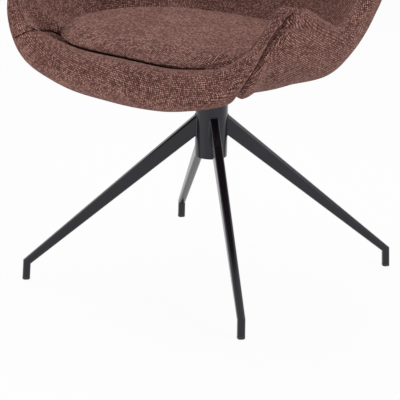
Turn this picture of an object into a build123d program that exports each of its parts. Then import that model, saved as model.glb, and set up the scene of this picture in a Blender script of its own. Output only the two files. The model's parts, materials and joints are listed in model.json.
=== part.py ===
from build123d import *
from collections import namedtuple
from math import cos, degrees, radians, sin, tan
import os

# Swivel chair with an upholstered bucket seat on four straight steel legs.
# Millimetres. The origin is where the swivel axis meets the floor, +Z is up
# and the seat faces -Y, so +X is the sitter's left.

# Base
FOOT_CIRCLE_RADIUS = 345.0
BASE_TURN = 5.0
HUB_DIAMETER = 60.0
HUB_WALL = 3.0
HUB_EDGE = 1.0
LEG_HUB_HEIGHT = 289.0
HUB_ABOVE_LEGS = 47.0
HUB_BELOW_LEGS = 59.0
HUB_TOP = LEG_HUB_HEIGHT + HUB_ABOVE_LEGS
HUB_BOTTOM = LEG_HUB_HEIGHT - HUB_BELOW_LEGS
LEG_HUB_DEPTH = 31.0
LEG_HUB_WIDTH = 17.0
LEG_CORNER = 4.5
TUBE_WALL = 1.5
POST_SIZE = 14.0
POST_CORNER = 5.0
POST_SPLAY = 3.0
ANKLE_HEIGHT = 34.0
GLIDE_HEIGHT = 5.0
GLIDE_STEM = 14.0
GLIDE_EDGE = 1.2

# Swivel bearing
SPINDLE_DIAMETER = 25.0
SPINDLE_INSET = 11.0
SPINDLE_BOTTOM = HUB_BOTTOM + SPINDLE_INSET
SPINDLE_CHAMFER = 1.5
RUNNING_CLEARANCE = 0.05
BUSH_LENGTH = 26.0
BUSH_FLANGE = 3.0
LOWER_BUSH_INSET = 22.0
LOWER_BUSH_BOTTOM = HUB_BOTTOM + LOWER_BUSH_INSET
BUSH_FIT = 0.1
CAP_RECESS = 1.0
CAP_THICKNESS = 3.0
CAP_SKIRT = 8.0
CAP_SKIRT_WALL = 2.0
AXIAL_PLAY = 0.3
RETAINING_WASHER_DIAMETER = 40.0
RETAINING_WASHER_THICKNESS = 2.5
CIRCLIP_DIAMETER = 33.0
CIRCLIP_THICKNESS = 1.8
CIRCLIP_MOUTH = 8.0
GROOVE_DEPTH = 1.2
GROOVE_CLEARANCE = 0.1
RACE_DIAMETER = 44.0
RACE_THICKNESS = 3.0
RACE_SPACING = 5.0
BALL_DIAMETER = 6.0
BALL_COUNT = 12
BALL_CLEARANCE = 0.1
CAGE_THICKNESS = 2.0
CAGE_MARGIN = 1.2

# Seat plate and its fastening
COLLAR_DIAMETER = 46.0
COLLAR_HEIGHT = 16.0
PLATE_SIZE = 130.0
PLATE_THICKNESS = 4.0
PLATE_CORNER = 14.0
BOLT_SPACING = 96.0
BOLT_DIAMETER = 6.0
BOLT_HOLE_CLEARANCE = 0.3
BOLT_HEAD_WIDTH = 10.0
BOLT_HEAD_HEIGHT = 4.0
BOLT_END = 1.0
WASHER_DIAMETER = 13.0
WASHER_THICKNESS = 1.6
TEE_NUT_FLANGE = 19.0
TEE_NUT_FLANGE_THICKNESS = 1.5
TEE_NUT_BARREL = 8.0
TEE_NUT_LENGTH = 10.0
BOARD_THICKNESS = 18.0
PART_CLEARANCE = 0.3

# Bucket shell: heights are above its underside, reaches are from the axis
CORE_RADIUS = 90.0
CORE_CLEARANCE = 1.0
SHELL_LIFT = 1.0
SHELL_WALL = 8.0
PADDING_CLEARANCE = 0.6
RIM_CLEARANCE = 0.8
FLOOR_DEPTH = 61.0
WELT_ANGLE = 52.0
BEND_SHARE = 0.95
FRONT_REACH = 258.0
ROLL_HEIGHT = 51.0
ROLL_THICKNESS = 70.0
ARM_REACH = 365.0
ARM_HEIGHT = 197.0
DIP_REACH = 296.0
DIP_HEIGHT = 136.0
WAIST_REACH = 290.0
WING_REACH = 314.0
BACK_REACH = 279.0
BACK_HEIGHT = 451.0
RIM_THICKNESS = 28.0


def mix(low, high, share):
    """Value at a share of the way from one to another."""
    return low + (high - low) * share


def thin(share):
    """Thickness at a share of the way from the front roll to the thin rim."""
    return mix(ROLL_THICKNESS, RIM_THICKNESS, share)


# Each station is a radial section of the shell: its angle from the front, the
# reach and height of the rim's centre, the rim's thickness, the lean of the
# wall from level and the rise of the underside.
Station = namedtuple("Station", "angle reach height thickness lean rise")
STATIONS = [
    Station(0, FRONT_REACH, ROLL_HEIGHT, ROLL_THICKNESS, 60, 0),
    Station(20, mix(FRONT_REACH, ARM_REACH, 0.13), ROLL_HEIGHT, thin(0.02), 61, 2),
    Station(34, mix(FRONT_REACH, ARM_REACH, 0.40), mix(ROLL_HEIGHT, ARM_HEIGHT, 0.05), thin(0.07), 64, 6),
    Station(43, mix(FRONT_REACH, ARM_REACH, 0.71), mix(ROLL_HEIGHT, ARM_HEIGHT, 0.19), thin(0.4), 68, 9),
    Station(51, mix(FRONT_REACH, ARM_REACH, 0.94), mix(ROLL_HEIGHT, ARM_HEIGHT, 0.53), thin(0.76), 72, 12),
    Station(58, ARM_REACH, ARM_HEIGHT, thin(0.88), 78, 14),
    Station(66, mix(ARM_REACH, DIP_REACH, 0.30), mix(ARM_HEIGHT, DIP_HEIGHT, 0.13), RIM_THICKNESS, 82, 15),
    Station(76, mix(ARM_REACH, DIP_REACH, 0.70), mix(ARM_HEIGHT, DIP_HEIGHT, 0.62), RIM_THICKNESS, 84, 17),
    Station(88, DIP_REACH, DIP_HEIGHT, RIM_THICKNESS, 84, 17),
    Station(100, WAIST_REACH, mix(DIP_HEIGHT, BACK_HEIGHT, 0.073), thin(0.95), 82, 15),
    Station(114, mix(WAIST_REACH, WING_REACH, 0.46), mix(DIP_HEIGHT, BACK_HEIGHT, 0.264), thin(0.95), 81, 9),
    Station(132, WING_REACH, mix(DIP_HEIGHT, BACK_HEIGHT, 0.613), RIM_THICKNESS, 81, 5),
    Station(155, mix(WING_REACH, BACK_REACH, 0.46), mix(DIP_HEIGHT, BACK_HEIGHT, 0.9), RIM_THICKNESS, 82, 4),
    Station(180, BACK_REACH, BACK_HEIGHT, RIM_THICKNESS, 83, 4),
]
ROLL_SECTIONS = 14
WALL_SECTIONS = 24
WALL_CROWDING = 1.7

# Loose seat cushion
CUSHION_CORNER = 168.0
CUSHION_SETBACK = 6.0
CUSHION_SIDE_GAP = 37.0
CUSHION_LIFT = 4.5
CUSHION_EDGE = 5.0
CUSHION_CROWN = 12.0
CUSHION_ROUNDING = 4.0
CUSHION_BOTTOM_INSET = 84.0
CUSHION_BOTTOM_GAP = 0.3
CUSHION_WAIST_DROP = 0.4
CUSHION_WAIST_INSET = 0.36

# Levels of the swivel stack, from the hub's top upwards
hub_radius = HUB_DIAMETER / 2
hub_bore = hub_radius - HUB_WALL
spindle_radius = SPINDLE_DIAMETER / 2
flange_top = HUB_TOP + BUSH_FLANGE
lower_race_top = flange_top + RACE_THICKNESS
upper_race_bottom = lower_race_top + RACE_SPACING
collar_bottom = upper_race_bottom + RACE_THICKNESS
plate_bottom = collar_bottom + COLLAR_HEIGHT
plate_top = plate_bottom + PLATE_THICKNESS
board_top = plate_top + BOARD_THICKNESS
shell_bottom = plate_top + SHELL_LIFT
seat_floor = shell_bottom + FLOOR_DEPTH
core_bottom = board_top + TEE_NUT_FLANGE_THICKNESS + BOLT_END + PART_CLEARANCE

# Levels of the retaining ring at the spindle's foot
washer_top = LOWER_BUSH_BOTTOM - AXIAL_PLAY
washer_bottom = washer_top - RETAINING_WASHER_THICKNESS
circlip_bottom = washer_bottom - CIRCLIP_THICKNESS

# Thrust bearing
ball_radius = BALL_DIAMETER / 2
ball_circle = (RACE_DIAMETER / 2 + spindle_radius) / 2
ball_level = (lower_race_top + upper_race_bottom) / 2

# A leg is drawn in the XZ plane: the foot, the ankle and the point on the hub
foot_point = Vector(FOOT_CIRCLE_RADIUS, 0, 0)
post_axis = Vector(-sin(radians(POST_SPLAY)), 0, cos(radians(POST_SPLAY)))
ankle_point = foot_point + post_axis * (ANKLE_HEIGHT / cos(radians(POST_SPLAY)))
hub_point = Vector(hub_radius, 0, LEG_HUB_HEIGHT)
leg_length = (ankle_point - hub_point).length
leg_axis = (ankle_point - hub_point).normalized()
mitre_plane = Plane(origin=ankle_point, z_dir=(leg_axis + post_axis * -1) * -1)
post_plane = Plane(origin=foot_point + post_axis * GLIDE_HEIGHT, x_dir=(0, 1, 0), z_dir=post_axis)

LEG_ANGLES = {
    "rear_left": 45 + BASE_TURN,
    "rear_right": 135 + BASE_TURN,
    "front_right": 225 + BASE_TURN,
    "front_left": 315 + BASE_TURN,
}

os.makedirs("parts", exist_ok=True)


def save(builder, name):
    """Label a finished piece and write it."""
    builder.part.label = name
    export_step(builder.part, f"parts/{name}.step")


def leg_section(distance, inset):
    """Rounded tube section of a leg at a distance along it from the hub."""
    share = distance / leg_length
    width = LEG_HUB_WIDTH + (POST_SIZE - LEG_HUB_WIDTH) * share - 2 * inset
    depth = LEG_HUB_DEPTH + (POST_SIZE - LEG_HUB_DEPTH) * share - 2 * inset
    corner = LEG_CORNER + (POST_CORNER - LEG_CORNER) * share - inset
    plane = Plane(origin=hub_point + leg_axis * distance, x_dir=(0, 1, 0), z_dir=leg_axis)
    with BuildSketch(plane) as section:
        RectangleRounded(width, depth, corner)
    return section.sketch


def section_plane(angle):
    """Radial plane at an angle from the front: its x is the reach, its y the height."""
    turn = radians(angle)
    return Plane(origin=(0, 0, 0), x_dir=(sin(turn), -cos(turn), 0), z_dir=(-cos(turn), -sin(turn), 0))


def tangent_slopes(values):
    """Slopes at the stations that keep the curve between them free of overshoot."""
    angles = [s.angle for s in STATIONS]
    steps = [b - a for a, b in zip(angles, angles[1:])]
    rates = [(b - a) / h for a, b, h in zip(values, values[1:], steps)]
    slopes = [0.0]
    for left, right, before, after in zip(rates, rates[1:], steps, steps[1:]):
        weight_left = 2 * after + before
        weight_right = after + 2 * before
        if left * right > 0:
            slopes.append((weight_left + weight_right) / (weight_left / left + weight_right / right))
        else:
            slopes.append(0.0)
    return slopes + [0.0]


def station_at(turn):
    """Smooth section values between the stations, alike on both sides and level across the middle."""
    angle = abs(turn) if turn <= 180 else 360 - turn
    index = max(i for i, s in enumerate(STATIONS[:-1]) if s.angle <= angle)
    low, high = STATIONS[index], STATIONS[index + 1]
    span = high.angle - low.angle
    t = (angle - low.angle) / span
    blended = [angle]
    for field in range(1, len(low)):
        slopes = tangent_slopes([s[field] for s in STATIONS])
        value = low[field] * (1 + 2 * t) * (1 - t) ** 2 + high[field] * t * t * (3 - 2 * t)
        value += span * (slopes[index] * t * (1 - t) ** 2 + slopes[index + 1] * t * t * (t - 1))
        blended.append(value)
    return Station(*blended)


def bend(start, start_slope, end, end_slope, inset=0.0):
    """Points of a line, an arc and a line from start to end, all moved inward by inset."""
    first = Vector(1, 0).rotate(Axis.Z, start_slope)
    last = Vector(1, 0).rotate(Axis.Z, end_slope)
    turn = end_slope - start_slope
    span = end - start
    run = span.cross(last).Z / first.cross(last).Z
    climb = first.cross(span).Z / first.cross(last).Z
    cut = BEND_SHARE * min(run, climb)
    radius = cut / tan(radians(turn / 2))
    normals = [first.rotate(Axis.Z, 90 + turn * share) for share in (0, 0, 0.5, 1, 1)]
    arc_start = start + first * (run - cut)
    start += first * (inset * tan(radians(start_slope)))
    centre = arc_start + normals[0] * radius
    points = [start, arc_start, centre - normals[2] * radius, end - last * (climb - cut), end]
    return [point + normal * inset for point, normal in zip(points, normals)]


def outer_wall(station, inset=0.0, past=0.0):
    """Outside of the bucket in its section, from the core to the rim, moved inward by inset."""
    lean = Vector(1, 0).rotate(Axis.Z, station.lean)
    rim = rim_point(station, -90)
    points = bend(Vector(CORE_RADIUS, shell_bottom), station.rise, rim, station.lean, inset)
    return points[:-1] + [points[-1] + lean * past]


def inner_wall(station):
    """Inside of the padding in its section, from the core to the rim."""
    return bend(Vector(CORE_RADIUS, seat_floor), 0, rim_point(station, 90), station.lean)


def rim_point(station, turn):
    """Point on the half circle of the rim: -90 is its outside, 0 its tip and 90 its inside."""
    centre = Vector(station.reach, shell_bottom + station.height)
    return centre + Vector(station.thickness / 2, 0).rotate(Axis.Z, station.lean + turn)


def draw_path(points):
    """Line, arc and line through the five points of a bend."""
    Line(points[0], points[1])
    ThreePointArc(points[1], points[2], points[3])
    Line(points[3], points[4])


def draw_rim(station, outer_turn):
    """Rounded rim, from the outside over the tip to the inside."""
    tip = rim_point(station, 0)
    ThreePointArc(rim_point(station, outer_turn), rim_point(station, outer_turn / 2), tip)
    ThreePointArc(tip, rim_point(station, 45), rim_point(station, 90))


def roll_section(angle):
    """Whole section of the padding in front of the welt."""
    station = station_at(angle)
    outside = outer_wall(station)
    inside = inner_wall(station)
    with BuildSketch(section_plane(angle)) as section:
        with BuildLine():
            draw_path(outside)
            draw_rim(station, -90)
            draw_path(inside[::-1])
            Line(inside[0], outside[0])
        make_face()
    return section.sketch


def padding_section(angle):
    """Section of the padding behind the welt, which lines the shell and closes over its rim."""
    station = station_at(angle)
    outside = outer_wall(station, SHELL_WALL + PADDING_CLEARANCE, RIM_CLEARANCE)
    inside = inner_wall(station)
    rim_start = degrees(2 * RIM_CLEARANCE / station.thickness) - 90
    with BuildSketch(section_plane(angle)) as section:
        with BuildLine():
            draw_path(outside)
            Line(outside[4], rim_point(station, rim_start))
            draw_rim(station, rim_start)
            draw_path(inside[::-1])
            Line(inside[0], outside[0])
        make_face()
    return section.sketch


def shell_section(angle):
    """Section of the thin outer shell behind the welt."""
    station = station_at(angle)
    outside = outer_wall(station)
    inside = outer_wall(station, SHELL_WALL)
    with BuildSketch(section_plane(angle)) as section:
        with BuildLine():
            draw_path(outside)
            Line(outside[4], inside[4])
            draw_path(inside[::-1])
            Line(inside[0], outside[0])
        make_face()
    return section.sketch


# Hub tube
with BuildPart() as hub_tube:
    with BuildSketch(Plane.XY.offset(HUB_BOTTOM)):
        Circle(hub_radius)
        Circle(hub_bore, mode=Mode.SUBTRACT)
    extrude(amount=HUB_TOP - HUB_BOTTOM)
    fillet(hub_tube.edges().filter_by(GeomType.CIRCLE).group_by(SortBy.RADIUS)[-1], HUB_EDGE)
save(hub_tube, "hub_tube")

# Legs: tapered tubes, coped to the hub and mitred at the ankle
with BuildPart() as leg_blank:
    loft([leg_section(-hub_radius, 0), leg_section(leg_length + POST_SIZE, 0)])
    loft(
        [leg_section(-hub_radius, TUBE_WALL), leg_section(leg_length + POST_SIZE, TUBE_WALL)],
        mode=Mode.SUBTRACT,
    )
    Cylinder(hub_radius, 2 * HUB_TOP, mode=Mode.SUBTRACT)
    split(bisect_by=mitre_plane, keep=Keep.TOP)

# Foot posts: short tubes that turn down from the ankle
with BuildPart() as post_blank:
    with BuildSketch(post_plane):
        RectangleRounded(POST_SIZE, POST_SIZE, POST_CORNER)
        RectangleRounded(
            POST_SIZE - 2 * TUBE_WALL, POST_SIZE - 2 * TUBE_WALL, POST_CORNER - TUBE_WALL, mode=Mode.SUBTRACT
        )
    extrude(amount=ANKLE_HEIGHT + POST_SIZE)
    split(bisect_by=mitre_plane, keep=Keep.BOTTOM)

# Glides: plastic feet with a stem plugged into the post
with BuildPart() as glide_blank:
    with BuildSketch(post_plane):
        RectangleRounded(POST_SIZE, POST_SIZE, POST_CORNER)
    extrude(amount=-2 * GLIDE_HEIGHT)
    split(bisect_by=Plane.XY, keep=Keep.TOP)
    chamfer(glide_blank.faces().sort_by(Axis.Z)[0].edges(), GLIDE_EDGE)
    with BuildSketch(post_plane):
        stem_size = POST_SIZE - 2 * TUBE_WALL - 2 * BUSH_FIT
        RectangleRounded(stem_size, stem_size, POST_CORNER - TUBE_WALL - BUSH_FIT)
    extrude(amount=GLIDE_STEM)

for corner_name, corner_angle in LEG_ANGLES.items():
    for blank, piece_name in ((leg_blank, "leg"), (post_blank, "foot_post"), (glide_blank, "glide")):
        with BuildPart() as placed:
            add(blank.part, rotation=(0, 0, corner_angle))
        save(placed, f"{piece_name}_{corner_name}")

# Cap that closes the hub from below
with BuildPart() as hub_cap:
    cap_radius = hub_bore - BUSH_FIT
    cap_bottom = HUB_BOTTOM + CAP_RECESS
    with BuildSketch(Plane.XY.offset(cap_bottom)):
        Circle(cap_radius)
    extrude(amount=CAP_THICKNESS)
    with BuildSketch(Plane.XY.offset(cap_bottom + CAP_THICKNESS)):
        Circle(cap_radius)
        Circle(cap_radius - CAP_SKIRT_WALL, mode=Mode.SUBTRACT)
    extrude(amount=CAP_SKIRT)
save(hub_cap, "hub_cap")

# Bushes that carry the spindle
with BuildPart() as lower_bush:
    with BuildSketch(Plane.XY.offset(LOWER_BUSH_BOTTOM)):
        Circle(hub_bore - BUSH_FIT)
        Circle(spindle_radius + RUNNING_CLEARANCE, mode=Mode.SUBTRACT)
    extrude(amount=BUSH_LENGTH)
save(lower_bush, "lower_bush")

with BuildPart() as upper_bush:
    with BuildSketch(Plane.XY.offset(HUB_TOP - BUSH_LENGTH)):
        Circle(hub_bore - BUSH_FIT)
    extrude(amount=BUSH_LENGTH)
    with BuildSketch(Plane.XY.offset(HUB_TOP)):
        Circle(hub_radius)
    extrude(amount=BUSH_FLANGE)
    with BuildSketch(Plane.XY.offset(HUB_TOP - BUSH_LENGTH)):
        Circle(spindle_radius + RUNNING_CLEARANCE)
    extrude(amount=BUSH_LENGTH + BUSH_FLANGE, mode=Mode.SUBTRACT)
save(upper_bush, "upper_bush")

# Thrust bearing: two grooved races, the balls and their cage
for race_name, race_bottom in (("lower_race", flange_top), ("upper_race", upper_race_bottom)):
    with BuildPart() as race:
        with BuildSketch(Plane.XY.offset(race_bottom)):
            Circle(RACE_DIAMETER / 2)
            Circle(spindle_radius + BUSH_FIT, mode=Mode.SUBTRACT)
        extrude(amount=RACE_THICKNESS)
        with Locations((0, 0, ball_level)):
            Torus(ball_circle, ball_radius + BALL_CLEARANCE, mode=Mode.SUBTRACT)
    save(race, race_name)

with BuildPart() as bearing_balls:
    with Locations((0, 0, ball_level)):
        with PolarLocations(ball_circle, BALL_COUNT):
            Sphere(ball_radius)
save(bearing_balls, "bearing_balls")

with BuildPart() as bearing_cage:
    with BuildSketch(Plane.XY.offset(ball_level - CAGE_THICKNESS / 2)):
        Circle(ball_circle + ball_radius + CAGE_MARGIN)
        Circle(ball_circle - ball_radius - CAGE_MARGIN, mode=Mode.SUBTRACT)
    extrude(amount=CAGE_THICKNESS)
    with Locations((0, 0, ball_level)):
        with PolarLocations(ball_circle, BALL_COUNT):
            Sphere(ball_radius + BALL_CLEARANCE, mode=Mode.SUBTRACT)
save(bearing_cage, "bearing_cage")

# Spindle, held in the hub by a washer and a circlip
with BuildPart() as spindle:
    with BuildSketch(Plane.XY.offset(SPINDLE_BOTTOM)):
        Circle(spindle_radius)
    extrude(amount=plate_bottom - SPINDLE_BOTTOM)
    chamfer(spindle.edges().sort_by(Axis.Z)[0], SPINDLE_CHAMFER)
    with BuildSketch(Plane.XY.offset(circlip_bottom - GROOVE_CLEARANCE)):
        Circle(spindle_radius)
        Circle(spindle_radius - GROOVE_DEPTH, mode=Mode.SUBTRACT)
    extrude(amount=CIRCLIP_THICKNESS + GROOVE_CLEARANCE, mode=Mode.SUBTRACT)
save(spindle, "spindle")

with BuildPart() as retaining_washer:
    with BuildSketch(Plane.XY.offset(washer_bottom)):
        Circle(RETAINING_WASHER_DIAMETER / 2)
        Circle(spindle_radius + BUSH_FIT, mode=Mode.SUBTRACT)
    extrude(amount=RETAINING_WASHER_THICKNESS)
save(retaining_washer, "retaining_washer")

with BuildPart() as circlip:
    with BuildSketch(Plane.XY.offset(circlip_bottom)):
        Circle(CIRCLIP_DIAMETER / 2)
        Circle(spindle_radius - GROOVE_DEPTH + GROOVE_CLEARANCE, mode=Mode.SUBTRACT)
        with Locations((0, -CIRCLIP_DIAMETER / 2)):
            Rectangle(CIRCLIP_MOUTH, CIRCLIP_DIAMETER, mode=Mode.SUBTRACT)
    extrude(amount=CIRCLIP_THICKNESS)
save(circlip, "circlip")

# Seat plate with the collar that the spindle is welded into
with BuildPart() as seat_plate:
    with BuildSketch(Plane.XY.offset(plate_bottom)):
        RectangleRounded(PLATE_SIZE, PLATE_SIZE, PLATE_CORNER)
        with GridLocations(BOLT_SPACING, BOLT_SPACING, 2, 2):
            Circle(BOLT_DIAMETER / 2 + BOLT_HOLE_CLEARANCE, mode=Mode.SUBTRACT)
    extrude(amount=PLATE_THICKNESS)
    with BuildSketch(Plane.XY.offset(collar_bottom)):
        Circle(COLLAR_DIAMETER / 2)
        Circle(spindle_radius + BUSH_FIT, mode=Mode.SUBTRACT)
    extrude(amount=COLLAR_HEIGHT)
save(seat_plate, "seat_plate")

# Bolts through plate and board into tee nuts
with BuildPart() as bolt_washers:
    with BuildSketch(Plane.XY.offset(plate_bottom - WASHER_THICKNESS)):
        with GridLocations(BOLT_SPACING, BOLT_SPACING, 2, 2):
            Circle(WASHER_DIAMETER / 2)
            Circle(BOLT_DIAMETER / 2 + BOLT_HOLE_CLEARANCE, mode=Mode.SUBTRACT)
    extrude(amount=WASHER_THICKNESS)
save(bolt_washers, "bolt_washers")

with BuildPart() as seat_bolts:
    head_top = plate_bottom - WASHER_THICKNESS
    with BuildSketch(Plane.XY.offset(head_top - BOLT_HEAD_HEIGHT)):
        with GridLocations(BOLT_SPACING, BOLT_SPACING, 2, 2):
            RegularPolygon(BOLT_HEAD_WIDTH / 2, 6, major_radius=False)
    extrude(amount=BOLT_HEAD_HEIGHT)
    with BuildSketch(Plane.XY.offset(head_top)):
        with GridLocations(BOLT_SPACING, BOLT_SPACING, 2, 2):
            Circle(BOLT_DIAMETER / 2)
    extrude(amount=board_top + TEE_NUT_FLANGE_THICKNESS + BOLT_END - head_top)
save(seat_bolts, "seat_bolts")

with BuildPart() as tee_nuts:
    with BuildSketch(Plane.XY.offset(board_top)):
        with GridLocations(BOLT_SPACING, BOLT_SPACING, 2, 2):
            Circle(TEE_NUT_FLANGE / 2)
    extrude(amount=TEE_NUT_FLANGE_THICKNESS)
    with BuildSketch(Plane.XY.offset(board_top - TEE_NUT_LENGTH)):
        with GridLocations(BOLT_SPACING, BOLT_SPACING, 2, 2):
            Circle(TEE_NUT_BARREL / 2)
    extrude(amount=TEE_NUT_LENGTH)
    with BuildSketch(Plane.XY.offset(board_top - TEE_NUT_LENGTH)):
        with GridLocations(BOLT_SPACING, BOLT_SPACING, 2, 2):
            Circle(BOLT_DIAMETER / 2 + RUNNING_CLEARANCE)
    extrude(amount=TEE_NUT_LENGTH + TEE_NUT_FLANGE_THICKNESS, mode=Mode.SUBTRACT)
save(tee_nuts, "tee_nuts")

with BuildPart() as seat_board:
    with BuildSketch(Plane.XY.offset(plate_top)):
        Circle(CORE_RADIUS - CORE_CLEARANCE)
        with GridLocations(BOLT_SPACING, BOLT_SPACING, 2, 2):
            Circle(TEE_NUT_BARREL / 2 + BUSH_FIT, mode=Mode.SUBTRACT)
    extrude(amount=BOARD_THICKNESS)
save(seat_board, "seat_board")

# Angles of the lofted sections: from welt to welt round the front, and round the back
roll_end = WELT_ANGLE - degrees(PART_CLEARANCE / CORE_RADIUS)
roll_angles = [roll_end * (2 * i / ROLL_SECTIONS - 1) for i in range(ROLL_SECTIONS + 1)]
wall_shares = [(i / WALL_SECTIONS) ** WALL_CROWDING for i in range(WALL_SECTIONS + 1)]
left_angles = [WELT_ANGLE + (180 - WELT_ANGLE) * share for share in wall_shares]
wall_angles = left_angles + [360 - angle for angle in left_angles[-2::-1]]

# Outer shell: the covered wall behind the welt, stapled round the seat board's edge
with BuildPart() as outer_shell:
    loft([shell_section(angle) for angle in wall_angles])
save(outer_shell, "outer_shell")

# Padding: the front roll, and the lining of arms and back
with BuildPart() as front_roll:
    loft([roll_section(angle) for angle in roll_angles])
save(front_roll, "front_roll")

with BuildPart() as inner_padding:
    loft([padding_section(angle) for angle in wall_angles])
save(inner_padding, "inner_padding")

# Foam core that fills the well over the fastenings
with BuildPart() as core_foam:
    with BuildSketch(Plane.XY.offset(core_bottom)):
        Circle(CORE_RADIUS - CORE_CLEARANCE)
    extrude(amount=seat_floor - core_bottom)
save(core_foam, "core_foam")

# Cushion: a round-backed pad, drawn in below its seam and crowned above it
seam_level = shell_bottom + ROLL_HEIGHT + ROLL_THICKNESS / 2 + CUSHION_LIFT
cushion_bottom = seat_floor + CUSHION_BOTTOM_GAP
cushion_centre = CUSHION_CORNER + CUSHION_SETBACK - FRONT_REACH
cushion_half_width = DIP_REACH - RIM_THICKNESS / 2 - CUSHION_SIDE_GAP
cushion_middle = cushion_centre + (cushion_half_width - CUSHION_CORNER) / 2
crown_top = seam_level + CUSHION_EDGE + CUSHION_CROWN
crown_radius = (cushion_half_width**2 + CUSHION_CROWN**2) / (2 * CUSHION_CROWN)


def cushion_outline(level, inset):
    """Outline of the cushion at a level: straight front, quarter-round corners, round back."""
    middle = cushion_half_width - CUSHION_CORNER
    corner = CUSHION_CORNER - inset
    back = cushion_half_width - inset
    with BuildSketch(Plane.XY.offset(level)) as outline:
        with BuildLine():
            Line((-middle, cushion_centre - corner), (middle, cushion_centre - corner))
            CenterArc((middle, cushion_centre), corner, 270, 90)
            CenterArc((0, cushion_centre), back, 0, 90)
            CenterArc((0, cushion_centre), back, 90, 90)
            CenterArc((-middle, cushion_centre), corner, 180, 90)
        make_face()
    return outline.sketch


with BuildPart() as seat_cushion:
    add(cushion_outline(seam_level, 0))
    extrude(amount=crown_top - seam_level)
    with Locations((0, cushion_middle, crown_top - crown_radius)):
        Sphere(crown_radius, mode=Mode.INTERSECT)
    crown_edges = seat_cushion.faces().sort_by(Axis.Z)[-1].edges()
    fillet(crown_edges, CUSHION_ROUNDING)
    waist_level = seam_level + (cushion_bottom - seam_level) * CUSHION_WAIST_DROP
    loft([
        cushion_outline(cushion_bottom, CUSHION_BOTTOM_INSET),
        cushion_outline(waist_level, CUSHION_BOTTOM_INSET * CUSHION_WAIST_INSET),
        cushion_outline(seam_level, 0),
    ])
save(seat_cushion, "seat_cushion")
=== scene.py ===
import json
import math

import bpy
import numpy as np
from mathutils import Matrix, Vector, noise
from mathutils.bvhtree import BVHTree
from mathutils.kdtree import KDTree


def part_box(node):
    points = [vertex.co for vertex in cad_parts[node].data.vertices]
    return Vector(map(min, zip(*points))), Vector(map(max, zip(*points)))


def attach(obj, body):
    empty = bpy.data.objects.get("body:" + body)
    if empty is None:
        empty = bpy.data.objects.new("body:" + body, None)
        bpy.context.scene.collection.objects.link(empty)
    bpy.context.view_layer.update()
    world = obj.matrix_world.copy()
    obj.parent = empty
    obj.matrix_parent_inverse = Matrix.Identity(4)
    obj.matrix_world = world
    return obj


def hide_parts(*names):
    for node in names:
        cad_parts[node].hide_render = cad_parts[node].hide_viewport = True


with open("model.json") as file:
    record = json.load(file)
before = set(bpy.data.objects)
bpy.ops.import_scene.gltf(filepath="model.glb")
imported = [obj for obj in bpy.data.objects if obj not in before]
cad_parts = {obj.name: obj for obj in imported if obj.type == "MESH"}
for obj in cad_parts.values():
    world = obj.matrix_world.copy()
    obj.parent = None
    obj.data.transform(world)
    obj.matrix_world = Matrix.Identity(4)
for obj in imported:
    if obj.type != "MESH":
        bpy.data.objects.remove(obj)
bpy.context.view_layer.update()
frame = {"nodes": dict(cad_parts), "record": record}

# Metres. The origin is where the swivel axis meets the floor, +Z is up and the
# seat faces -Y. Angles of the bucket are from the front, towards the sitter's left.

# Bucket, as in the solid model: heights are above its underside, reaches are from the axis
CORE_RADIUS = 0.090
SHELL_BOTTOM = 0.371
SEAT_FLOOR = 0.432
BEND_SHARE = 0.95
FRONT_REACH = 0.258
ROLL_HEIGHT = 0.051
ROLL_THICKNESS = 0.070
ARM_REACH = 0.365
ARM_HEIGHT = 0.197
DIP_REACH = 0.296
DIP_HEIGHT = 0.136
WAIST_REACH = 0.290
WING_REACH = 0.314
BACK_REACH = 0.279
BACK_HEIGHT = 0.451
RIM_THICKNESS = 0.028
NORMAL_ANGLE_STEP = 0.05
NORMAL_PLACE_STEP = 0.002

# Seams of the cover. A place along a section runs from 0 to 1 up the outside, from
# 1 to 2 over the rim and from 2 to 3 down the inside. The front roll's cover ends at
# these places and angles.
ROLL_SEAM = [
    (0.0, 49), (0.5, 48.6), (0.72, 48.4), (0.8, 48.7), (0.88, 50), (0.93, 54),
    (0.97, 58), (1.0, 59), (1.25, 61.2), (1.5, 62.7), (1.56, 58), (1.62, 43),
    (1.8, 41), (2.0, 44.5), (2.15, 50), (2.35, 53.5), (2.6, 52), (3.0, 52),
]
RIM_SEAM = 1.5
CREST_END = 1.66
SKIN_THICKNESS = 0.005
WELT_DEPTH = 0.0085
ROLL_WELT_WIDTH = 0.0110
SHELL_WELT_WIDTH = 0.0046
WELT_NARROWING = (1.3, 1.6)
LINING_SEAM_DEPTH = 0.0026
LINING_SEAM_WIDTH = 0.0030
WELT_PROFILE = [
    (0, WELT_DEPTH), (1.2, WELT_DEPTH), (RIM_SEAM, 0), (1.6, 0),
    (CREST_END, LINING_SEAM_DEPTH), (3, LINING_SEAM_DEPTH),
]
RIM_SEAM_DEPTH = 0.0012
CROSS_SEAM = [(1.17, 43.25), (1.27, 42.25), (1.4, 41.25), (1.49, 41.1), (1.6, 41.2), (1.7, 41.7)]
CROSS_SEAM_DEPTH = 0.0022
SEAM_SUBSTEP = 0.1
THREAD_RADIUS = 0.0010
THREAD_SIDES = 6
LINING_THREAD_SPAN = (1.64, 2.4)
LINING_THREAD_STEPS = 70
LINING_THREAD_SINK = 0.0018
WELT_THREAD_SPAN = (0.02, 1.3)
WELT_THREAD_STEPS = 160
WELT_THREAD_SINK = 0.0004
CROSS_THREAD_STEPS = 60
CROSS_THREAD_SINK = 0.0012

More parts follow.
